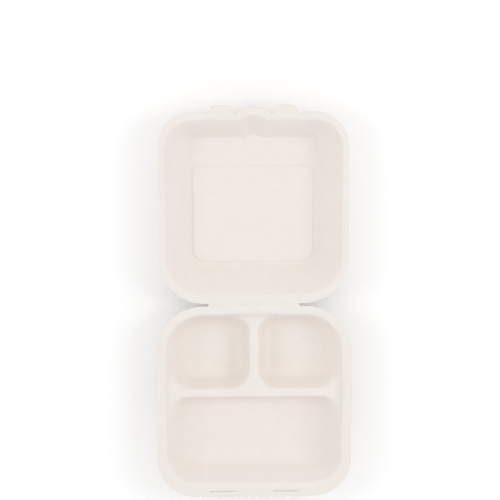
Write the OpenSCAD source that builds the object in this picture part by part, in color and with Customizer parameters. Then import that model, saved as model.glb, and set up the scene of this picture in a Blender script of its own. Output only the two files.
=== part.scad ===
// Hinged foam tray with three compartments, lying open flat on its two halves.
// One sheet of foam is formed into a base and a lid, joined by a crushed line along the hinge.
// X runs across, Y from the hinge to the lid's front edge, Z up. The undersides stand at z = 0.

/* [Sheet] */
// Thickness of the foam sheet
sheet_t = 2.2; // [1.8:0.1:2.8]
// Height of each half, which is half of the closed tray's
half_h = 38.1; // [34:0.1:46]
// Gap between the two rims when the tray is closed
rim_gap = 0.3; // [0.2:0.1:0.6]

/* [Base] */
// Width of the base over its rim
base_w = 216; // [205:1:232]
// Length of the base from the hinge to its front edge
base_len = 220; // [214:1:232]
// Radius of the base's two front corners
base_front_r = 50; // [44:1:56]
// Radius of the base's two corners at the hinge
base_hinge_r = 52; // [46:1:56]
// Width of the rim along the base's sides
base_rim = 9; // [6:0.5:11]
// Width of the lip along the base's front, which takes the slots
base_lip = 13; // [12:0.5:16]
// Slope of the base's front and side walls, in degrees from the floor
base_slope = 60; // [56:1:68]
// Radius where the base's front and side walls turn into the floor
base_foot_r = 26; // [16:1:28]

/* [Compartments] */
// Length of the large compartment, from the front edge to the middle of the cross divider
large_len = 118; // [110:1:124]
// Depth of the dividers' tops below the rim
divider_drop = 7; // [4:0.5:12]
// Width of the flat on top of a divider
divider_top = 5; // [4:0.5:8]
// Slope of a divider's sides, in degrees from the floor
divider_slope = 74; // [68:1:80]
// Radius where a divider's side turns into the floor
divider_foot_r = 12; // [8:1:14]
// Radius, seen from above, of a compartment's corners at the dividers
divider_corner_r = 24; // [18:1:28]

/* [Lid] */
// Width of the lid over its rim
lid_w = 207; // [198:1:216]
// Length of the lid from the hinge to its front edge, without the tabs
lid_len = 213; // [200:1:216]
// Radius of the lid's two front corners
lid_front_r = 40; // [34:1:48]
// Radius of the lid's two corners at the hinge
lid_hinge_r = 50; // [44:1:54]
// Width of the rim along the lid's sides
lid_rim = 5; // [4:0.5:8]
// Width of the lip along the lid's front, which carries the tabs
lid_lip = 7; // [5:0.5:8]
// Slope of the lid's walls, in degrees from its top panel
lid_slope = 62; // [60:1:70]
// Radius of the bend towards the lid's top panel
lid_foot_r = 30; // [20:1:34]
// Angle of the crease at which the lid's walls meet its top panel
lid_crease = 20; // [0:1:30]
// Depth of the stiffening panel pressed into the lid
panel_depth = 1.6; // [1:0.1:2.4]
// Distance of the panel from the foot of the lid's side walls
panel_side = 2; // [1:0.5:10]
// Distance of the panel from the foot of the lid's front wall
panel_front = 30; // [15:1:40]

/* [Lock] */
// Distance of each tab's middle from the tray's middle
tab_x = 35; // [32:0.5:42]
// Width of a tab at its root
tab_w = 26; // [22:1:32]
// How much narrower a tab is at its tip
tab_taper = 3; // [0:0.5:6]
// Length of a tab beyond the lid's front edge
tab_len = 7; // [6:0.5:10]
// Radius of a tab's outer corners
tab_r = 3; // [2:0.5:5]
// Width of the notch on each side of a tab
notch_w = 5; // [3:0.5:6]
// Depth of the notches into the lid's rim
notch_depth = 2.5; // [1:0.5:3.5]
// Radius of the soft corners around the tabs and the notches
notch_soft = 1.2; // [0.5:0.1:1.6]
// Width of the thumb lift between the tabs
lift_w = 33; // [26:1:34]
// Length of the thumb lift beyond the lid's front edge
lift_len = 5; // [3:0.5:6]
// Width, at the foot, of the thumb flute in the lid's front wall
flute_w = 19; // [14:1:24]
// Depth of the thumb flute into the wall
flute_depth = 4; // [2:0.5:6]
// Width of a slot across the lip
slot_w = 3.4; // [2.5:0.1:3.8]
// Play of a tab in its slot, in all along the slot
slot_play = 3; // [1:0.5:5]

/* [Hinge] */
// Length of the hinge
hinge_len = 100; // [80:1:104]
// Thickness of the crushed foam at the hinge
hinge_t = 0.8; // [0.5:0.1:1.2]
// Width of the crushed line, half of it on each side of the hinge
hinge_w = 3; // [2:0.5:5]

/* [Hidden] */

FOAM = "#efe7e1";
SLICE = 0.01;        // thickness of the slices that a wall is stretched over
ABOVE = 2;           // how far a cavity's cut runs on above the rim
CORNER_STEPS = 8;    // sides of a compartment's corner
OUTLINE_STEPS = 14;  // sides of an outline's corner
FOOT_STEPS = 6;      // steps of the bend into the floor
BEND_STEPS = 3;      // steps of the bend at the rim or at a divider's top
UNDER_BEND = 1.3;    // radius under the bend at the rim
UNDER_DIVIDER = 0.8; // radius under the bend of a divider's top
FLOOR_CORNER_R = 8;  // smallest radius, seen from above, of a corner at the floor
HINGE_FOOT = 8;      // how much tighter the bend at the foot of a wall by the hinge is
HINGE_STEEPER = 8;   // how many degrees steeper a wall by the hinge is

rim_z = half_h - rim_gap / 2;
divider_z = rim_z - divider_drop;
hinge_y = (base_len - lid_len - tab_len) / 2; // puts the origin at the middle of the open tray
slot_y = -base_len + base_lip / 2;
tab_root = notch_depth + 2; // how far a tab reaches back into the rim
lift_r = (lift_w * lift_w / 4 + lift_len * lift_len) / (2 * lift_len);
lift_y = -lid_len - lift_len + lift_r; // middle of the thumb lift's arc

// A wall is [shelf, top, bend, slope, foot, crease]: the width and height of the shelf that it hangs
// from, the radius of the bend over it, its slope, the radius of the bend towards the floor, and
// the angle at which that bend meets the floor.
base_wall = [base_rim, rim_z, UNDER_BEND + sheet_t, base_slope, base_foot_r, 0];
base_front = [base_lip, rim_z, UNDER_BEND + sheet_t, base_slope, base_foot_r, 0];
base_back = [base_rim - hinge_w / 2, rim_z, UNDER_BEND + sheet_t,
             base_slope + HINGE_STEEPER, base_foot_r - HINGE_FOOT, 0];
divider_wall = [divider_top / 2, divider_z, UNDER_DIVIDER + sheet_t, divider_slope, divider_foot_r, 0];
lid_wall = [lid_rim, rim_z, UNDER_BEND + sheet_t, lid_slope, lid_foot_r, lid_crease];
lid_front = [lid_lip, rim_z, UNDER_BEND + sheet_t, lid_slope, lid_foot_r, lid_crease];
lid_back = [base_rim - hinge_w / 2, rim_z, UNDER_BEND + sheet_t, lid_slope, lid_foot_r, lid_crease];

// How far from the shelf's edge the middle of the foot's bend is, how high it is, and where the
// floor begins
function foot_in(w) =
    w[0] + (w[2] + w[4]) * sin(w[3]) + (w[1] - w[2] - foot_up(w) + (w[2] + w[4]) * cos(w[3])) / tan(w[3]);
function foot_up(w) = sheet_t + w[4] * cos(w[5]);
function floor_at(w) = foot_in(w) - w[4] * sin(w[5]);

// How far in from the shelf's edge a wall stands at height z. d is 0 on the food side and
// sheet_t on the underside, which runs parallel to it.
function bend_z(w, d) = w[1] - w[2] + (w[2] - d) * cos(w[3]);
function foot_z(w, d) = foot_up(w) - (w[4] + d) * cos(w[3]);
function inset(w, z, d) =
    z >= bend_z(w, d) ? w[0] + (w[2] - d) * sin(acos(min(1, (z - w[1] + w[2]) / (w[2] - d))))
    : z <= foot_z(w, d) ? foot_in(w) - (w[4] + d) * sin(acos(min(1, (foot_up(w) - z) / (w[4] + d))))
    : foot_in(w) - (w[4] + d) * sin(w[3]) - (z - foot_z(w, d)) / tan(w[3]);

// Heights at which a wall is sliced: up its foot, and over its bend
function foot_levels(w, d) =
    let (start = acos(min(1, (foot_up(w) - sheet_t + d) / (w[4] + d))))
    [for (i = [0 : FOOT_STEPS]) foot_up(w) - (w[4] + d) * cos(start + (w[3] - start) * i / FOOT_STEPS)];
function bend_levels(w, d) =
    [for (i = [BEND_STEPS : -1 : 0]) w[1] - w[2] + (w[2] - d) * cos(w[3] * i / BEND_STEPS)];

function corner(x, y, r, turn, steps) =
    [for (i = [0 : steps]) [x + r * cos(turn + 90 * i / steps), y + r * sin(turn + 90 * i / steps)]];

// A rectangle from (x0, y0) to (x1, y1). r holds the radii of its corners: back right, back left,
// front left and front right.
function rounded(x0, y0, x1, y1, r, steps) = concat(
    corner(x1 - r[0], y1 - r[0], r[0], 0, steps), corner(x0 + r[1], y1 - r[1], r[1], 90, steps),
    corner(x0 + r[2], y0 + r[2], r[2], 180, steps), corner(x1 - r[3], y0 + r[3], r[3], 270, steps));

// Corner radii at height z: of the tray itself, and of a compartment at the dividers
function outer_r(r, w, z, d) = max(r - inset(w, z, d), FLOOR_CORNER_R + d);
function divider_r(z, d) =
    max(divider_corner_r - inset(divider_wall, z, d) + divider_top / 2, FLOOR_CORNER_R + d);

// The outline of each hollow at height z, with the hinge at y = 0 and the front at -Y
function base_ring(z, d) =
    let (side = inset(base_wall, z, d), back = outer_r(base_hinge_r, base_wall, z, d),
         front = outer_r(base_front_r, base_wall, z, d))
    rounded(-base_w / 2 + side, -base_len + inset(base_front, z, d),
            base_w / 2 - side, -hinge_w / 2 - inset(base_back, z, d),
            [back, back, front, front], CORNER_STEPS);
function large_ring(z, d) =
    let (side = inset(base_wall, z, d), front = outer_r(base_front_r, base_wall, z, d))
    rounded(-base_w / 2 + side, -base_len + inset(base_front, z, d),
            base_w / 2 - side, -base_len + large_len - inset(divider_wall, z, d),
            [divider_r(z, d), divider_r(z, d), front, front], CORNER_STEPS);
function small_ring(z, d) =
    let (r = divider_r(z, d))
    rounded(-base_w / 2 + inset(base_wall, z, d), -base_len + large_len + inset(divider_wall, z, d),
            -inset(divider_wall, z, d), -hinge_w / 2 - inset(base_back, z, d),
            [r, outer_r(base_hinge_r, base_wall, z, d), r, r], CORNER_STEPS);
function lid_ring(z, d) =
    let (side = inset(lid_wall, z, d), back = outer_r(lid_hinge_r, lid_wall, z, d),
         front = outer_r(lid_front_r, lid_wall, z, d))
    rounded(-lid_w / 2 + side, -lid_len + inset(lid_front, z, d),
            lid_w / 2 - side, -hinge_w / 2 - inset(lid_back, z, d),
            [back, back, front, front], CORNER_STEPS);

module slice(z, points) {
    translate([0, 0, z]) linear_extrude(SLICE) polygon(points);
}

// Stretches a skin over the outlines at each height
module stretch(levels, outlines) {
    for (i = [0 : len(levels) - 2])
        hull() {
            slice(levels[i], outlines[i]);
            slice(levels[i + 1], outlines[i + 1]);
        }
}

// The mouth of the base, down to the dividers' tops. Its top outline runs on to close_z.
module base_mouth(d, close_z) {
    levels = concat([divider_z - d], bend_levels(base_wall, d));
    stretch(concat(levels, [close_z]), [for (z = concat(levels, [rim_z - d])) base_ring(z, d)]);
}

module large_hollow(d) {
    levels = concat(foot_levels(base_wall, d), bend_levels(divider_wall, d));
    stretch(levels, [for (z = levels) large_ring(z, d)]);
}

module small_hollow(d) {
    levels = concat(foot_levels(base_wall, d), bend_levels(divider_wall, d));
    stretch(levels, [for (z = levels) small_ring(z, d)]);
}

module base_hollows(d, close_z) {
    base_mouth(d, close_z);
    large_hollow(d);
    small_hollow(d);
    mirror([1, 0, 0]) small_hollow(d);
}

module lid_hollow(d, close_z) {
    levels = concat(foot_levels(lid_wall, d), bend_levels(lid_wall, d));
    stretch(concat(levels, [close_z]), [for (z = concat(levels, [rim_z - d])) lid_ring(z, d)]);
}

// Half of the thin line along the hinge, flush with the top of the rim
module hinge_land() {
    translate([-hinge_len / 2, -hinge_w, rim_z - hinge_t]) cube([hinge_len, hinge_w, hinge_t]);
}

module base_outline() {
    back = base_hinge_r;
    front = base_front_r;
    polygon(rounded(-base_w / 2, -base_len, base_w / 2, -hinge_w / 2, [back, back, front, front],
                    OUTLINE_STEPS));
}

module lock_slot() {
    reach = (tab_w + slot_play - slot_w) / 2;
    hull()
        for (x = [-reach, reach])
            translate([x, slot_y, rim_z - 2 * sheet_t]) cylinder(h = 3 * sheet_t, d = slot_w, $fn = 16);
}

module base_tray() {
    color(FOAM) translate([0, hinge_y, 0]) {
        difference() {
            union() {
                translate([0, 0, rim_z - sheet_t]) linear_extrude(sheet_t) base_outline();
                base_hollows(sheet_t, rim_z - sheet_t / 2);
            }
            base_hollows(0, rim_z + ABOVE);
            for (side = [-1, 1]) translate([side * tab_x, 0, 0]) lock_slot();
        }
        hinge_land();
    }
}

module tab_outline() {
    root = tab_w / 2;
    tip = tab_w / 2 - tab_taper / 2;
    translate([0, -lid_len])
        hull() {
            translate([-root, 0]) square([tab_w, tab_root]);
            for (x = [-tip + tab_r, tip - tab_r])
                translate([x, -tab_len + tab_r]) circle(r = tab_r, $fn = 32);
        }
}

module notch_outline() {
    translate([tab_w / 2 - tab_taper, -lid_len - tab_len - 1])
        square([notch_w + tab_taper, tab_len + 1 + notch_depth]);
}

// An arc over the middle of the front edge
module lift_outline() {
    intersection() {
        translate([0, lift_y]) circle(r = lift_r, $fn = 120);
        translate([-lift_w / 2, -lid_len - lift_len]) square([lift_w, lift_len + tab_root]);
    }
}

// The rim with its notches, and the tabs between them, all with soft corners
module lid_outline() {
    back = lid_hinge_r;
    front = lid_front_r;
    offset(r = notch_soft, $fn = 24) offset(r = -2 * notch_soft, $fn = 24) offset(r = notch_soft, $fn = 24)
        union() {
            difference() {
                union() {
                    polygon(rounded(-lid_w / 2, -lid_len, lid_w / 2, -hinge_w / 2,
                                    [back, back, front, front], OUTLINE_STEPS));
                    lift_outline();
                }
                for (side = [-1, 1]) translate([side * tab_x, 0])
                    for (end = [0, 1]) mirror([end, 0]) notch_outline();
            }
            for (side = [-1, 1]) translate([side * tab_x, 0]) tab_outline();
        }
}

// The panel in the lid, lifted by panel_depth on the food side. d is as for the walls.
module panel(d, below) {
    side = floor_at(lid_wall) + panel_side;
    front = floor_at(lid_front) + panel_front;
    back = floor_at(lid_back) + panel_side;
    hull()
        for (level = [[-below, -d], [panel_depth, panel_depth + d]])
            slice(sheet_t - d + level[0],
                  rounded(-lid_w / 2 + side + level[1], -lid_len + front + level[1],
                          lid_w / 2 - side - level[1], -hinge_w / 2 - back - level[1],
                          [for (i = [0 : 3]) FLOOR_CORNER_R], CORNER_STEPS));
}

// The thumb flute in the lid's front wall: circles that follow the lift's arc at the rim and narrow
// towards the floor, where they push its front edge out
function flute_t(z) = max(0, min(1, (z - sheet_t) / (bend_z(lid_front, 0) - sheet_t)));
function flute_r(z) =
    flute_t(z) < 1 ? flute_w / 2 + flute_t(z) * (lift_r - inset(lid_front, bend_z(lid_front, 0), 0) - flute_w / 2)
    : lift_r - inset(lid_front, z, 0);
function flute_ring(z, d) =
    let (food = inset(lid_front, max(z, sheet_t), 0), around = flute_r(z) + food - inset(lid_front, z, d),
         y = -lid_len + food - flute_depth - (lift_len - flute_depth) * flute_t(z) + flute_r(z))
    rounded(-around, y - around, around, y + around, [for (i = [0 : 3]) around], CORNER_STEPS);
module flute(d, close_z) {
    levels = concat(foot_levels(lid_front, d), bend_levels(lid_front, d));
    stretch(concat(levels, [close_z]), [for (z = concat(levels, [rim_z - d])) flute_ring(z, d)]);
}

module lid() {
    color(FOAM) translate([0, hinge_y, 0]) mirror([0, 1, 0]) {
        difference() {
            union() {
                translate([0, 0, rim_z - sheet_t]) linear_extrude(sheet_t) lid_outline();
                lid_hollow(sheet_t, rim_z - sheet_t / 2);
                flute(sheet_t, rim_z - sheet_t / 2);
            }
            difference() {
                lid_hollow(0, rim_z + ABOVE);
                panel(0, sheet_t);
            }
            flute(0, rim_z + ABOVE);
            panel(sheet_t, sheet_t);
        }
        hinge_land();
    }
}

base_tray();
lid();
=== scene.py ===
import math

import bmesh
import bpy
import numpy as np
from mathutils import Matrix, Quaternion, Vector


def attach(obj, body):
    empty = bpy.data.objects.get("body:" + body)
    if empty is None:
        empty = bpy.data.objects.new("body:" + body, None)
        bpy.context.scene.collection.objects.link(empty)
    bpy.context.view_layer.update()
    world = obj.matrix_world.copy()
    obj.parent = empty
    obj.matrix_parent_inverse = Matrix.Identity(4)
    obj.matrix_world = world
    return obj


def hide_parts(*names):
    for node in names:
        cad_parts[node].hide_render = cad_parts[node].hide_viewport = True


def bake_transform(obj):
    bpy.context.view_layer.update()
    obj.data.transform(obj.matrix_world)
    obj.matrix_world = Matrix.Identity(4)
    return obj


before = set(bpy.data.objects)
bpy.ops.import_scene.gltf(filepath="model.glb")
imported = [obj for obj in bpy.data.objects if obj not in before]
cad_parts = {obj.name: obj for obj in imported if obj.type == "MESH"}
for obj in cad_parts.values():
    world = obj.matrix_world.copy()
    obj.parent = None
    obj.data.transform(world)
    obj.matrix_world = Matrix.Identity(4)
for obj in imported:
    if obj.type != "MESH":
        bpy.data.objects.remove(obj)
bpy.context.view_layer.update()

# Sizes are in millimetres, as in the CAD source, and become metres when a mesh is made.
# Each half is laid out with the hinge at y = 0 and its front at -Y. The lid is mirrored at the end.
mm = 0.001

sheet = {
    "thickness": 2.2,
    "rimZ": 37.95,
    "floorCorner": 8.0,
    "edgeRound": 0.45,
    "edgeSteps": 2,
    "edgeAngle": 62.0,
}

# A wall: width and height of the shelf that it hangs from, bend over it, slope, bend towards the
# floor, and the angle of the crease at which that bend meets the floor. The lid's walls are a
# little straighter than in the CAD source, as the photo shows them.
baseSide = {"shelf": 9.0, "top": 37.95, "bend": 3.5, "slope": 60.0, "foot": 26.0, "crease": 0.0}
baseFront = dict(baseSide, shelf=13.0)
baseBack = dict(baseSide, shelf=7.5, slope=68.0, foot=18.0)
divider = {"shelf": 2.5, "top": 30.95, "bend": 3.0, "slope": 74.0, "foot": 12.0, "crease": 0.0}
lidSide = {"shelf": 5.0, "top": 37.95, "bend": 3.5, "slope": 53.0, "foot": 12.0, "crease": 40.0}
lidFront = dict(lidSide, shelf=7.0, slope=56.0)
lidBack = dict(lidSide, shelf=7.5)


# Walls, worked out as in the CAD source

def sinDeg(a):
    return math.sin(math.radians(a))


def cosDeg(a):
    return math.cos(math.radians(a))


def footUp(wall):
    return sheet["thickness"] + wall["foot"] * cosDeg(wall["crease"])


def footIn(wall):
    slope = wall["slope"]
    reach = wall["bend"] + wall["foot"]
    drop = wall["top"] - wall["bend"] - footUp(wall) + reach * cosDeg(slope)
    return wall["shelf"] + reach * sinDeg(slope) + drop / math.tan(math.radians(slope))


def floorAt(wall):
    return footIn(wall) - wall["foot"] * sinDeg(wall["crease"])


# How far in from the shelf's edge the wall's food side stands at height z
def inset(wall, z):
    z = np.asarray(z, dtype=float)
    bend, foot, slope, top = wall["bend"], wall["foot"], wall["slope"], wall["top"]
    bendZ = top - bend + bend * cosDeg(slope)
    footZ = footUp(wall) - foot * cosDeg(slope)
    overBend = wall["shelf"] + bend * np.sqrt(np.clip(1 - ((z - top + bend) / bend) ** 2, 0, 1))
    upFoot = footIn(wall) - foot * np.sqrt(np.clip(1 - ((footUp(wall) - z) / foot) ** 2, 0, 1))
    straight = footIn(wall) - foot * sinDeg(slope) - (z - footZ) / math.tan(math.radians(slope))
    return np.where(z >= bendZ, overBend, np.where(z <= footZ, upFoot, straight))


# Heights of the rings from under the rim down to the floor
def wallLevels(wall, bendSteps, wallSteps, footSteps):
    bend, foot, slope, top = wall["bend"], wall["foot"], wall["slope"], wall["top"]
    bendZ = top - bend + bend * cosDeg(slope)
    footZ = footUp(wall) - foot * cosDeg(slope)
    over = [top - bend + bend * cosDeg(slope * i / bendSteps) for i in range(1, bendSteps + 1)]
    down = [bendZ + (footZ - bendZ) * i / wallSteps for i in range(1, wallSteps)]
    turn = [slope + (wall["crease"] - slope) * i / footSteps for i in range(footSteps + 1)]
    return over + down + [footUp(wall) - foot * cosDeg(a) for a in turn]


# Heights of the base: the lowest level at which a point is inside a hollow

base = {
    "halfWidth": 108.0,
    "front": -220.0,
    "back": -1.5,
    "frontRadius": 44.0,
    "backRadius": 52.0,
    "dividerY": -102.0,
    "dividerCorner": 24.0,
}

# Where the dividers' tops run out: how far from the wall, how narrow and how often it is evened
soft = {"reach": 13.0, "fade": 1.6, "narrow": 0.45, "pull": 0.8, "rounds": 16}


# radii holds the corners' radii: back right, back left, front left, front right
def insideRounded(x, y, x0, y0, x1, y1, radii):
    inside = (x >= x0) & (x <= x1) & (y >= y0) & (y <= y1)
    corners = ((x1, y1, 1, 1), (x0, y1, -1, 1), (x0, y0, -1, -1), (x1, y0, 1, -1))
    for (cx, cy, sx, sy), r in zip(corners, radii):
        dx = (x - (cx - sx * r)) * sx
        dy = (y - (cy - sy * r)) * sy
        inside &= ~((dx > 0) & (dy > 0) & (dx * dx + dy * dy > r * r))
    return inside


def outerRadius(radius, wall, z):
    return np.maximum(radius - inset(wall, z), sheet["floorCorner"])


def dividerRadius(z):
    return np.maximum(base["dividerCorner"] - inset(divider, z) + divider["shelf"],
                      sheet["floorCorner"])


def inMouth(x, y, z):
    side = base["halfWidth"] - inset(baseSide, z)
    back = outerRadius(base["backRadius"], baseSide, z)
    front = outerRadius(base["frontRadius"], baseSide, z)
    return insideRounded(x, y, -side, base["front"] + inset(baseFront, z),
                         side, base["back"] - inset(baseBack, z), (back, back, front, front))


def inLarge(x, y, z):
    side = base["halfWidth"] - inset(baseSide, z)
    front = outerRadius(base["frontRadius"], baseSide, z)
    back = dividerRadius(z)
    return insideRounded(x, y, -side, base["front"] + inset(baseFront, z),
                         side, base["dividerY"] - inset(divider, z), (back, back, front, front))


def inSmall(x, y, z):
    r = dividerRadius(z)
    outer = outerRadius(base["backRadius"], baseSide, z)
    return insideRounded(-np.abs(x), y, -base["halfWidth"] + inset(baseSide, z),
                         base["dividerY"] + inset(divider, z), -inset(divider, z),
                         base["back"] - inset(baseBack, z), (r, outer, r, r))


# The lowest level between low and high at which each point is inside the hollow
def lowest(x, y, hollow, low, high):
    low = np.full_like(x, low)
    high = np.full_like(x, high)
    outside = ~hollow(x, y, high)
    atFloor = hollow(x, y, low)
    halvings = 34
    for _ in range(halvings):
        middle = (low + high) / 2
        inside = hollow(x, y, middle)
        high = np.where(inside, middle, high)
        low = np.where(inside, low, middle)
    high = np.where(atFloor, sheet["thickness"], high)
    return np.where(outside, sheet["rimZ"], high)


def baseHeight(x, y):
    z = lowest(x, y, inMouth, divider["top"], sheet["rimZ"])
    level = 0.0001
    z = np.where(z < divider["top"] + level, divider["top"], z)
    for hollow in (inLarge, inSmall):
        low = lowest(x, y, hollow, sheet["thickness"], divider["top"])
        z = np.where(low < divider["top"], np.minimum(z, low), z)
    return z


# The pointed ends of the dividers' tops run out softly into the walls
def softenTips(z, i, j, x, y):
    n = int(i.max())
    table = np.zeros((2 * n + 1, 2 * n + 1), dtype=int)
    table[i + n, j + n] = np.arange(len(z))
    sideX = base["halfWidth"] - float(inset(baseSide, divider["top"]))
    backY = base["back"] - float(inset(baseBack, divider["top"]))
    side = np.hypot(np.abs(x) - sideX, (y - base["dividerY"]) * soft["narrow"])
    back = np.hypot(x * soft["narrow"], y - backY)
    near = np.clip(soft["fade"] - np.minimum(side, back) / soft["reach"], 0, 1)[table]
    heights = z[table]
    for _ in range(soft["rounds"]):
        around = (heights[:-2, 1:-1] + heights[2:, 1:-1] + heights[1:-1, :-2] + heights[1:-1, 2:]) / 4
        heights[1:-1, 1:-1] += (around - heights[1:-1, 1:-1]) * near[1:-1, 1:-1] * soft["pull"]
    return heights[i + n, j + n]


# A half is a square grid of lines whose rings follow the rim, the walls and the floor

# across, front and back hold the lines' distances from the middle, from the inside out
def ringGrid(name, across, front, back, middleY, frontRadii, backRadii):
    n = len(across) - 1
    bm = bmesh.new()
    bmesh.ops.create_grid(bm, x_segments=2 * n, y_segments=2 * n, size=1.0)
    bm.verts.ensure_lookup_table()
    i = np.array([round(v.co.x * n) for v in bm.verts])
    j = np.array([round(v.co.y * n) for v in bm.verts])
    across, front, back = (np.array(a, dtype=float) for a in (across, front, back))
    frontRadii, backRadii = np.array(frontRadii, dtype=float), np.array(backRadii, dtype=float)
    x = np.sign(i) * across[np.abs(i)]
    depth = np.where(j < 0, front[np.abs(j)], back[np.abs(j)])
    k = np.maximum(np.abs(i), np.abs(j))
    r = np.where(j < 0, frontRadii[k], backRadii[k])
    cx = across[k] - r
    cy = np.where(j < 0, front[k], back[k]) - r
    dx, dy = np.abs(x) - cx, depth - cy
    reach = np.hypot(dx, dy)
    atCorner = (dx > 0) & (dy > 0) & (r > 0)
    scale = np.where(atCorner, r / np.maximum(reach, 1e-9), 1.0)
    x = np.where(atCorner, np.sign(i) * (cx + dx * scale), x)
    depth = np.where(atCorner, cy + dy * scale, depth)
    y = middleY + np.sign(j) * depth
    print(name, len(bm.verts), "points,", n, "rings")
    return bm, i, j, x, y, k


# Even steps after start, up to and with end
def spread(start, end, steps):
    return [start + (end - start) * s / steps for s in range(1, steps + 1)]


def placePoints(bm, x, y, z, flip):
    for v, a, b, c in zip(bm.verts, x, y, z):
        v.co = Vector((a, flip * b, c)) * mm


def toObject(bm, name, flip, materials):
    if flip < 0:
        bmesh.ops.reverse_faces(bm, faces=bm.faces)
    mesh = bpy.data.meshes.new(name)
    bm.to_mesh(mesh)
    bm.free()
    for polygon in mesh.polygons:
        polygon.use_smooth = True
    for material in materials:
        mesh.materials.append(material)
    obj = bpy.data.objects.new(name, mesh)
    bpy.context.scene.collection.objects.link(obj)
    solid = obj.modifiers.new("thickness", "SOLIDIFY")
    solid.thickness = sheet["thickness"] * mm
    solid.offset = -1
    solid.use_even_offset = True
    solid.material_offset_rim = 1
    bevel = obj.modifiers.new("softEdge", "BEVEL")
    bevel.width = sheet["edgeRound"] * mm
    bevel.segments = sheet["edgeSteps"]
    bevel.limit_method = "ANGLE"
    bevel.angle_limit = math.radians(sheet["edgeAngle"])
    return obj


def buildBase(materials):
    # Lines from the middle: over the dividers, across the floors, up the walls and over the rim
    dense = [0.0, 0.9, 1.7, 2.5, 3.1, 3.7, 4.3, 4.9, 5.4] + spread(5.4, 19.6, 13)
    across = dense + [20.5, 20.85, 21.4, 22.2] + spread(22.2, 32.0, 8)
    across += [34.5, 37.5, 40.5, 43.5, 46.0, 47.8, 48.6, 49.15, 49.5, 52.0, 55.0, 58.2]
    steps = len(across)
    levels = wallLevels(baseSide, 5, 8, 15)[::-1]
    slotHalf = lock["slotWidth"] / 2 * baseSide["shelf"] / baseFront["shelf"]
    shelf = [7.0, baseSide["shelf"] / 2 + slotHalf, baseSide["shelf"] / 2 - slotHalf, 2.0, 0.0]
    floorX = base["halfWidth"] - floorAt(baseSide)
    floorFront = base["dividerY"] - base["front"] - floorAt(baseFront)
    floorBack = base["back"] - base["dividerY"] - floorAt(baseBack)

    def rows(floorEdge):
        lines = dense + spread(19.6, 33.0, 12)
        return lines + spread(33.0, floorEdge, steps - len(lines) + 1)[:-1]

    front, back = rows(floorFront), rows(floorBack)
    radii = [sheet["floorCorner"] * s / steps for s in range(steps)]
    frontRadii, backRadii = list(radii), list(radii)
    for z in levels + [sheet["rimZ"]]:
        across.append(base["halfWidth"] - float(inset(baseSide, z)))
        front.append(base["dividerY"] - base["front"] - float(inset(baseFront, z)))
        back.append(base["back"] - base["dividerY"] - float(inset(baseBack, z)))
        frontRadii.append(float(outerRadius(base["frontRadius"], baseSide, z)))
        backRadii.append(float(outerRadius(base["backRadius"], baseSide, z)))
    for u in shelf:
        across.append(base["halfWidth"] - u)
        front.append(base["dividerY"] - base["front"] - u * baseFront["shelf"] / baseSide["shelf"])
        back.append(base["back"] - base["dividerY"] - u * baseBack["shelf"] / baseSide["shelf"])
        frontRadii.append(base["frontRadius"] - u)
        backRadii.append(base["backRadius"] - u)
    bm, i, j, x, y, k = ringGrid("base", across, front, back, base["dividerY"], frontRadii, backRadii)
    last = len(across) - 1
    z = softenTips(baseHeight(x, y), i, j, x, y)
    z = np.where(k >= last - len(shelf), sheet["rimZ"], z)

    # The lock slots: the rows on both sides of each slot close round its ends
    half = lock["slotWidth"] / 2
    start, end = lock["tabX"] - lock["slotLength"] / 2, lock["tabX"] + lock["slotLength"] / 2
    slotY = base["front"] + baseFront["shelf"] / 2
    behind, ahead = 3 - last, 2 - last
    near = 0.01
    for index in range(len(x)):
        fromEnd = min(abs(x[index]) - start, end - abs(x[index]))
        if j[index] in (behind, ahead) and -near <= fromEnd < half:
            rise = math.sqrt(max(half * half - (half - fromEnd) ** 2, lock["slotEnd"] ** 2))
            y[index] = slotY + (rise if j[index] == behind else -rise)
    inSlot = []
    for face in bm.faces:
        corners = [v.index for v in face.verts]
        if all(j[c] in (behind, ahead) and start - near <= abs(x[c]) <= end + near for c in corners):
            inSlot.append(face)
    bmesh.ops.delete(bm, geom=inSlot, context="FACES_ONLY")
    placePoints(bm, x, y, z, 1)
    return toObject(bm, "baseShell", 1, materials)


lid = {
    "halfWidth": 103.5,
    "front": -213.0,
    "back": -1.5,
    "frontRadius": 38.0,
    "backRadius": 50.0,
    "middleY": -93.0,
    "panelDepth": 1.6,
    "panelSide": 2.0,
    "panelFront": 30.0,
    "panelEdge": 2.4,
    "panelBackRadius": 15.0,
}

# The lock: tabs, notches and thumb lift on the lid, and the slots in the base
lock = {
    "tabX": 35.0,
    "tabWidth": 26.0,
    "tabTaper": 3.0,
    "tabLength": 7.0,
    "tabRadius": 4.2,
    "notchWidth": 5.0,
    "notchDepth": 2.5,
    "softCorner": 1.2,
    "slotWidth": 1.6,
    "slotLength": 29.0,
    "slotEnd": 0.5,
    "liftWidth": 33.0,
    "liftLength": 5.0,
    "fluteDepth": 3.4,
    "fluteWidth": 23.0,
    "fluteSoft": 1.6,
    "liftSoft": 0.3,
    "softFrom": 8.0,
    "shoulder": 3.0,
}


# How far the pressed panel stands above the lid's floor
def panelHeight(x, y, floorX, front, back):
    edge = lid["panelEdge"]
    r = np.where(y > (front + back) / 2, lid["panelBackRadius"], sheet["floorCorner"])
    halfX, halfY = floorX - lid["panelSide"], (back - front) / 2
    dx = np.abs(x) - (halfX - r)
    dy = np.abs(y - (front + back) / 2) - (halfY - r)
    out = np.hypot(np.maximum(dx, 0), np.maximum(dy, 0)) + np.minimum(np.maximum(dx, dy), 0) - r
    t = np.clip(1 + out / edge, 0, 1)
    return lid["panelDepth"] * (1 - t * t * (3 - 2 * t))


liftR = ((lock["liftWidth"] / 2) ** 2 + lock["liftLength"] ** 2) / (2 * lock["liftLength"])
liftY = lid["front"] - lock["liftLength"] + liftR


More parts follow.
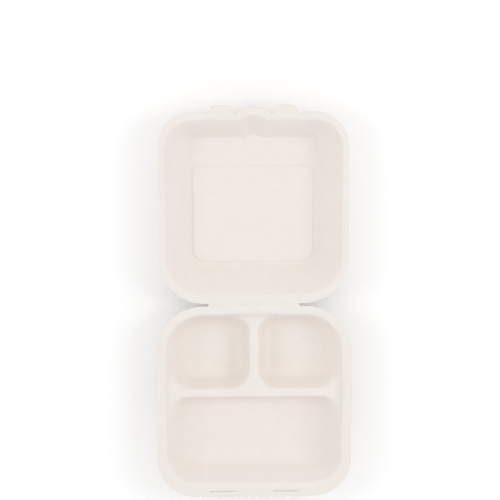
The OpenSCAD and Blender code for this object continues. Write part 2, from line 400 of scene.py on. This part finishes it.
# Middle and radius of the thumb flute's circle at height z, as in the CAD source
def fluteCircle(z):
    bendZ = lidFront["top"] - lidFront["bend"] * (1 - cosDeg(lidFront["slope"]))
    t = min(1.0, max(0.0, (z - sheet["thickness"]) / (bendZ - sheet["thickness"])))
    foot = lock["fluteWidth"] / 2
    if t < 1:
        r = foot + t * (liftR - float(inset(lidFront, bendZ)) - foot)
    else:
        r = liftR - float(inset(lidFront, z))
    depth = lock["fluteDepth"] + (lock["liftLength"] - lock["fluteDepth"]) * t
    return lid["front"] + float(inset(lidFront, z)) - depth + r, r


# How far the circle reaches out in front of the line at y, with soft shoulders
def circlePush(x, y, middle, r, blur):
    side = abs(x)
    edge = middle - math.sqrt(r * r - x * x) if side < r else middle + (side - r) * lock["shoulder"]
    h = max(blur - abs(y - edge), 0.0) / blur
    return y - (min(y, edge) - h * h * blur / 4)


# How far the lid's front edge is cut back at x: the notches, with soft corners
def notchCut(x):
    deep, r = lock["notchDepth"], lock["softCorner"]
    out = abs(abs(x) - lock["tabX"]) - lock["tabWidth"] / 2
    left = lock["notchWidth"] - out
    if out <= 0:
        return deep - r
    if out <= r:
        return deep - r + math.sqrt(max(r * r - (r - out) ** 2, 0))
    if left >= r:
        return deep
    if left >= 0:
        return deep - r + math.sqrt(max(r * r - (r - left) ** 2, 0))
    if left > -r:
        return r - math.sqrt(max(r * r - (r + left) ** 2, 0))
    return 0.0


# Half the width of a tab at a distance out from the lid's front edge
def tabHalf(out):
    r, tip = lock["tabRadius"], (lock["tabWidth"] - lock["tabTaper"]) / 2
    straight = lock["tabLength"] - r
    if out <= 0:
        return lock["tabWidth"] / 2
    if out <= straight:
        return lock["tabWidth"] / 2 + (tip - lock["tabWidth"] / 2) * out / straight
    return tip - r + math.sqrt(max(r * r - (out - straight) ** 2, 0))


def buildLid(materials):
    tab0 = lock["tabX"] - lock["tabWidth"] / 2
    tab1 = lock["tabX"] + lock["tabWidth"] / 2
    shoulder = [-1.2, -0.6, -0.2, 0.0, 0.2, 0.6, 1.2]

    # Lines from the middle: over the flute, past the notches and the tab, then the floor and walls
    across = [float(s) for s in range(0, 16)]
    across += [tab0 - lock["notchWidth"] + off for off in shoulder] + [19.5]
    across += [tab0 - 1.2, tab0 - 0.6, tab0 - 0.2, tab0, tab0 + 0.8, tab0 + 2.0, tab0 + 3.5]
    across += spread(tab0 + 3.5, tab1 - 3.5, 8) + [tab1 - 2.0, tab1 - 0.8]
    across += [tab1, tab1 + 0.2, tab1 + 0.6, tab1 + 1.2, tab1 + 2.5]
    across += [tab1 + lock["notchWidth"] + off for off in shoulder] + [56.0, 58.0]
    floorX = lid["halfWidth"] - floorAt(lidSide)
    floorFront = lid["middleY"] - lid["front"] - floorAt(lidFront)
    floorBack = lid["back"] - lid["middleY"] - floorAt(lidBack)
    panelFront = floorFront - lid["panelFront"]
    rimward = [9.0, 7.4, 6.0, 4.8, 4.1, 3.4, 2.7, 2.0, 1.2, 0.6]
    across += [floorX - off for off in rimward]
    steps = len(across)
    front = [0.0] + spread(0.0, panelFront - 3.1, 19) + spread(panelFront - 3.1, panelFront + 0.5, 5)
    front += spread(panelFront + 0.5, floorFront - 0.6, steps - len(front))
    inner = steps - len(rimward)
    back = [(floorBack - rimward[0]) * s / inner for s in range(inner)]
    back += [floorBack - off for off in rimward]
    heights = [sheet["thickness"]] * steps
    frontR = float(outerRadius(lid["frontRadius"], lidSide, sheet["thickness"]))
    backR = float(outerRadius(lid["backRadius"], lidSide, sheet["thickness"]))
    frontRadii = [max(0.0, frontR - (floorX - line)) for line in across]
    backRadii = [max(0.0, backR - (floorX - line)) for line in across]
    wallFrom = steps
    for z in wallLevels(lidSide, 5, 9, 13)[::-1] + [sheet["rimZ"]]:
        across.append(lid["halfWidth"] - float(inset(lidSide, z)))
        front.append(lid["middleY"] - lid["front"] - float(inset(lidFront, z)))
        back.append(lid["back"] - lid["middleY"] - float(inset(lidBack, z)))
        heights.append(z)
        frontRadii.append(float(outerRadius(lid["frontRadius"], lidSide, z)))
        backRadii.append(float(outerRadius(lid["backRadius"], lidSide, z)))
    shelfFrom = len(across)
    for part in (0.8, 0.6, 0.4, 0.2, 0.0):
        across.append(lid["halfWidth"] - part * lidSide["shelf"])
        front.append(lid["middleY"] - lid["front"] - part * lidFront["shelf"])
        back.append(lid["back"] - lid["middleY"] - part * lidBack["shelf"])
        heights.append(sheet["rimZ"])
        frontRadii.append(lid["frontRadius"] - part * lidSide["shelf"])
        backRadii.append(lid["backRadius"] - part * lidSide["shelf"])
    bm, i, j, x, y, k = ringGrid("lid", across, front, back, lid["middleY"], frontRadii, backRadii)
    z = np.array(heights)[k] + panelHeight(x, y, floorX, lid["middleY"] - panelFront,
                                           lid["middleY"] + floorBack - lid["panelSide"]) * (k < wallFrom)

    # The thumb lift and its flute push the front rows out, and the notches cut the rim back
    apron = 12
    floorMiddle, floorCircle = fluteCircle(sheet["thickness"])
    for index in range(len(x)):
        ring = -int(j[index])
        if ring != k[index] or ring < wallFrom - apron:
            continue
        if ring < wallFrom:
            t = (ring - (wallFrom - apron)) / apron
            push = circlePush(x[index], lid["middleY"] - floorFront, floorMiddle, floorCircle,
                              lock["fluteSoft"])
            y[index] -= push * t * t
        elif ring < shelfFrom:
            middle, r = fluteCircle(heights[ring])
            below = min(1.0, max(0.0, (sheet["rimZ"] - heights[ring]) / lock["softFrom"]))
            blur = lock["fluteSoft"] * below + lock["liftSoft"]
            y[index] -= circlePush(x[index], y[index], middle, r, blur)
        else:
            u = y[index] - lid["front"]
            y[index] -= circlePush(x[index], y[index], liftY, liftR - u, lock["liftSoft"])
            y[index] += notchCut(x[index]) * (1 - u / lidFront["shelf"])
    placePoints(bm, x, y, z, -1)

    # The tabs: rows drawn out of the rim's edge, which narrow round the tab's corners
    bm.verts.ensure_lookup_table()
    last = -(len(across) - 1)
    onEdge = {v.index for v in bm.verts
              if j[v.index] == last and tab0 - 0.01 <= abs(x[v.index]) <= tab1 + 0.01}
    tabEdges = [e for e in bm.edges if e.is_boundary and all(v.index in onEdge for v in e.verts)]
    reached = -(lock["notchDepth"] - lock["softCorner"])
    for out in (0.0, 1.5, 3.0, 4.0, 4.8, 5.5, 6.1, 6.6, 6.9, 7.0):
        made = bmesh.ops.extrude_edge_only(bm, edges=tabEdges)["geom"]
        fresh = {g for g in made if isinstance(g, bmesh.types.BMVert)}
        tabEdges = [g for g in made if isinstance(g, bmesh.types.BMEdge) and fresh.issuperset(g.verts)]
        ratio = tabHalf(out) / tabHalf(reached)
        for v in fresh:
            middle = math.copysign(lock["tabX"], v.co.x) * mm
            v.co.x = middle + (v.co.x - middle) * ratio
            v.co.y += (out - reached) * mm
        reached = out
    return toObject(bm, "lidShell", -1, materials)


hinge = {
    "halfLength": 50.0,
    "halfWidth": 1.5,
    "overlap": 0.4,
    "thin": 0.8,
    "crease": 0.6,
    "sunkEdge": 0.06,
    "thinner": 0.25,
    "columns": 100,
}


# The crushed line: thin along its middle, with a crease pressed in from above
def buildHinge(materials):
    reach = hinge["halfWidth"] + hinge["overlap"]
    half = [0.2, 0.45, 0.75, 1.1, hinge["halfWidth"], reach]
    across = [-y for y in reversed(half)] + [0.0] + half
    full = sheet["thickness"] - hinge["thinner"]
    top, under = [], []
    for y in across:
        near = max(0.0, 1 - abs(y) / hinge["halfWidth"])
        edge = hinge["sunkEdge"] if abs(y) > hinge["halfWidth"] else 0.0
        top.append(sheet["rimZ"] - hinge["crease"] * near ** 1.5 - edge)
        under.append(top[-1] - hinge["thin"] - (full - hinge["thin"]) * (abs(y) / reach) ** 1.3)
    outline = list(zip(across, top)) + list(zip(reversed(across), reversed(under)))
    bm = bmesh.new()
    ring = [bm.verts.new(Vector((-hinge["halfLength"], y, z)) * mm) for y, z in outline]
    start = [bm.edges.new((ring[a - 1], ring[a])) for a in range(len(ring))]
    edges = start
    step = Vector((2 * hinge["halfLength"] / hinge["columns"], 0, 0)) * mm
    for _ in range(hinge["columns"]):
        made = bmesh.ops.extrude_edge_only(bm, edges=edges)["geom"]
        fresh = {g for g in made if isinstance(g, bmesh.types.BMVert)}
        bmesh.ops.translate(bm, verts=list(fresh), vec=step)
        edges = [g for g in made if isinstance(g, bmesh.types.BMEdge) and fresh.issuperset(g.verts)]
    bmesh.ops.edgeloop_fill(bm, edges=start)
    bmesh.ops.edgeloop_fill(bm, edges=edges)
    bmesh.ops.recalc_face_normals(bm, faces=bm.faces)
    mesh = bpy.data.meshes.new("hingeStrip")
    bm.to_mesh(mesh)
    bm.free()
    for polygon in mesh.polygons:
        polygon.use_smooth = len(polygon.vertices) == 4
    mesh.materials.append(materials[0])
    obj = bpy.data.objects.new("hingeStrip", mesh)
    bpy.context.scene.collection.objects.link(obj)
    return obj


# Materials

foam = {
    "colour": (0.93, 0.876, 0.832),
    "shade": (0.895, 0.832, 0.782),
    "cloudSize": 38.0,
    "drawnSize": 9.0,
    "drawnLong": 5.0,
    "grainSize": 2.6,
    "grainLong": 2.0,
    "cellSize": 1.1,
    # The next two darken the sunken seams between the cells: painted shade
    "cellShade": 0.03,
    "roughness": 0.44,
    "cutShade": 0.03,
    "cutCellShade": 0.06,
    "cutRough": 0.25,
}


def newMaterial(name):
    material = bpy.data.materials.new(name)
    material.use_nodes = True
    tree = material.node_tree
    tree.nodes.clear()
    return material, tree


def addNode(tree, kind, inputs=None, **settings):
    node = tree.nodes.new(kind)
    for key, value in settings.items():
        setattr(node, key, value)
    for key, value in (inputs or {}).items():
        if isinstance(value, bpy.types.NodeSocket):
            tree.links.new(value, node.inputs[key])
        else:
            node.inputs[key].default_value = value
    return node


# A noise that is stretched by long in height, so that it runs down the drawn walls
def foamNoise(tree, place, size, long, detail):
    scale = 1000.0 / size
    vector = addNode(tree, "ShaderNodeVectorMath",
                     {0: place, 1: (scale, scale, scale / long)}, operation="MULTIPLY")
    return addNode(tree, "ShaderNodeTexNoise",
                   {"Vector": vector.outputs[0], "Scale": 1.0, "Detail": detail, "Roughness": 0.6})


def weighted(tree, parts):
    total = None
    for value, weight in parts:
        if total is None:
            total = addNode(tree, "ShaderNodeMath", {0: value, 1: weight}, operation="MULTIPLY")
        else:
            total = addNode(tree, "ShaderNodeMath", {0: value, 1: weight, 2: total.outputs[0]},
                            operation="MULTIPLY_ADD")
    return total.outputs[0]


# cutEdge is 0 for the sheet's skin and 1 for its cut edge, where the cells show
def foamMaterial(name, cutEdge):
    material, tree = newMaterial(name)
    place = addNode(tree, "ShaderNodeTexCoord").outputs["Object"]
    clouds = foamNoise(tree, place, foam["cloudSize"], 1.0, 2.0).outputs["Fac"]
    drawn = foamNoise(tree, place, foam["drawnSize"], foam["drawnLong"], 3.0).outputs["Fac"]
    grain = foamNoise(tree, place, foam["grainSize"], foam["grainLong"], 3.0).outputs["Fac"]
    cells = addNode(tree, "ShaderNodeTexVoronoi",
                    {"Vector": place, "Scale": 1000.0 / foam["cellSize"], "Randomness": 1.0},
                    feature="SMOOTH_F1").outputs["Distance"]

    # Colour: thicker and thinner places, then painted shade in the sunken seams between the cells, deeper
    # on the cut edge
    tone = weighted(tree, ((clouds, 0.3), (drawn, 0.3), (grain, 0.4)))
    ramp = addNode(tree, "ShaderNodeMapRange",
                   {"Value": tone, "From Min": 0.3, "From Max": 0.7, "To Min": 0.0, "To Max": 1.0})
    colour = addNode(tree, "ShaderNodeMix", {0: ramp.outputs[0]}, data_type="RGBA")
    dim = 1 - foam["cutShade"] * cutEdge
    colour.inputs["A"].default_value = (*(c * dim for c in foam["shade"]), 1.0)
    colour.inputs["B"].default_value = (*(c * dim for c in foam["colour"]), 1.0)
    # Painted shade: the cell seams, which the inverted cell bump sinks, are drawn darker, more so on the
    # cut edge
    dark = addNode(tree, "ShaderNodeMapRange",
                   {"Value": cells, "From Min": 0.15, "From Max": 0.75,
                    "To Min": 1.0, "To Max": 1 - foam["cellShade"] - foam["cutCellShade"] * cutEdge})
    colourWithCellShade = addNode(tree, "ShaderNodeVectorMath", {0: colour.outputs["Result"], 1: dark.outputs[0]},
                     operation="MULTIPLY")

    # Sheen: satin where the skin is drawn smooth, duller on the grain
    rough = addNode(tree, "ShaderNodeMapRange",
                    {"Value": weighted(tree, ((drawn, 0.5), (grain, 0.5))),
                     "From Min": 0.35, "From Max": 0.65,
                     "To Min": foam["roughness"] - 0.05 + foam["cutRough"] * cutEdge,
                     "To Max": foam["roughness"] + 0.10 + foam["cutRough"] * cutEdge})
    uneven = addNode(tree, "ShaderNodeBump",
                     {"Height": drawn, "Strength": 0.2, "Distance": 1.2 * mm})
    pebble = addNode(tree, "ShaderNodeBump",
                     {"Height": grain, "Strength": 0.35, "Distance": 0.4 * mm,
                      "Normal": uneven.outputs["Normal"]})
    cell = addNode(tree, "ShaderNodeBump",
                   {"Height": cells, "Strength": 0.3 + 0.5 * cutEdge, "Distance": 0.2 * mm,
                    "Normal": pebble.outputs["Normal"]}, invert=True)
    shader = addNode(tree, "ShaderNodeBsdfPrincipled",
                     {"Base Color": colourWithCellShade.outputs[0], "Roughness": rough.outputs[0],
                      "Normal": cell.outputs["Normal"], "IOR": 1.5,
                      "Specular IOR Level": 0.5})
    out = addNode(tree, "ShaderNodeOutputMaterial")
    tree.links.new(shader.outputs[0], out.inputs["Surface"])
    return material


# Stage, light and camera

light = {
    "floorSize": 30000.0,
    "floorZ": -0.4,
    "lamps": (
        {"name": "rightLamp", "place": (1300.0, 350.0, 1350.0), "size": 0.8, "power": 5.0},
        {"name": "leftLamp", "place": (-1300.0, 350.0, 1350.0), "size": 0.8, "power": 3.8},
    ),
    "sky": 0.81,
    "horizon": 0.9,
    "floorColour": (0.93, 0.93, 0.93),
    "floorLift": 0.12,
}


def buildStage():
    bpy.ops.mesh.primitive_plane_add(size=light["floorSize"] * mm, location=(0, 0, light["floorZ"] * mm))
    floor = bpy.context.object
    floor.name = "studioFloor"
    material, tree = newMaterial("studioFloor")
    seen = addNode(tree, "ShaderNodeLightPath").outputs["Is Camera Ray"]
    lift = addNode(tree, "ShaderNodeMath", {0: seen, 1: light["floorLift"]}, operation="MULTIPLY")
    shader = addNode(tree, "ShaderNodeBsdfDiffuse", {"Color": (*light["floorColour"], 1.0)})
    glow = addNode(tree, "ShaderNodeEmission", {"Strength": lift.outputs[0]})
    both = addNode(tree, "ShaderNodeAddShader", {0: shader.outputs[0], 1: glow.outputs[0]})
    out = addNode(tree, "ShaderNodeOutputMaterial")
    tree.links.new(both.outputs[0], out.inputs["Surface"])
    floor.data.materials.append(material)

    world = bpy.data.worlds.new("sky")
    bpy.context.scene.world = world
    world.use_nodes = True
    tree = world.node_tree
    tree.nodes.clear()
    seen = addNode(tree, "ShaderNodeLightPath").outputs["Is Camera Ray"]
    strength = addNode(tree, "ShaderNodeMapRange",
                       {"Value": seen, "To Min": light["sky"], "To Max": light["horizon"]})
    sky = addNode(tree, "ShaderNodeBackground",
                  {"Color": (1.0, 1.0, 1.0, 1.0), "Strength": strength.outputs[0]})
    out = addNode(tree, "ShaderNodeOutputWorld")
    tree.links.new(sky.outputs[0], out.inputs["Surface"])

    for lamp in light["lamps"]:
        data = bpy.data.lights.new(lamp["name"], "AREA")
        data.shape = "SQUARE"
        data.size = lamp["size"]
        data.energy = lamp["power"]
        obj = bpy.data.objects.new(lamp["name"], data)
        bpy.context.scene.collection.objects.link(obj)
        obj.location = Vector(lamp["place"]) * mm
        obj.rotation_euler = obj.location.to_track_quat("Z", "Y").to_euler()


camera = {
    "distance": 2200.0,
    "tiltBack": 11.9,
    "tiltSide": -1.25,
    "roll": -0.18,
    "lens": 144.3,
    "target": (-3.75, 57.7, 20.0),
}


def buildCamera():
    data = bpy.data.cameras.new("photoCamera")
    data.lens = camera["lens"]
    data.sensor_width = 36.0
    data.clip_end = 20.0
    obj = bpy.data.objects.new("photoCamera", data)
    bpy.context.scene.collection.objects.link(obj)
    away = Vector((sinDeg(camera["tiltSide"]), sinDeg(camera["tiltBack"]), 0.0))
    away.z = math.sqrt(1 - away.length_squared)
    obj.location = (Vector(camera["target"]) + away * camera["distance"]) * mm
    across = Vector((0, 1, 0)).cross(away).normalized()
    across.rotate(Quaternion(away, math.radians(camera["roll"])))
    obj.rotation_euler = Matrix((across, away.cross(across), away)).transposed().to_euler()
    bpy.context.scene.camera = obj
    bpy.context.scene.view_settings.view_transform = "Standard"


skin = foamMaterial("foamSkin", 0)
cut = foamMaterial("foamCut", 1)
print("building the base")
baseShell = buildBase([skin, cut])
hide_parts("base_tray")
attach(baseShell, "base")
print("building the lid")
lidShell = buildLid([skin, cut])
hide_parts("lid")
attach(lidShell, "lid")
print("building the hinge")
hingeStrip = buildHinge([skin])
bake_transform(hingeStrip)
print("building the stage")
buildStage()
buildCamera()

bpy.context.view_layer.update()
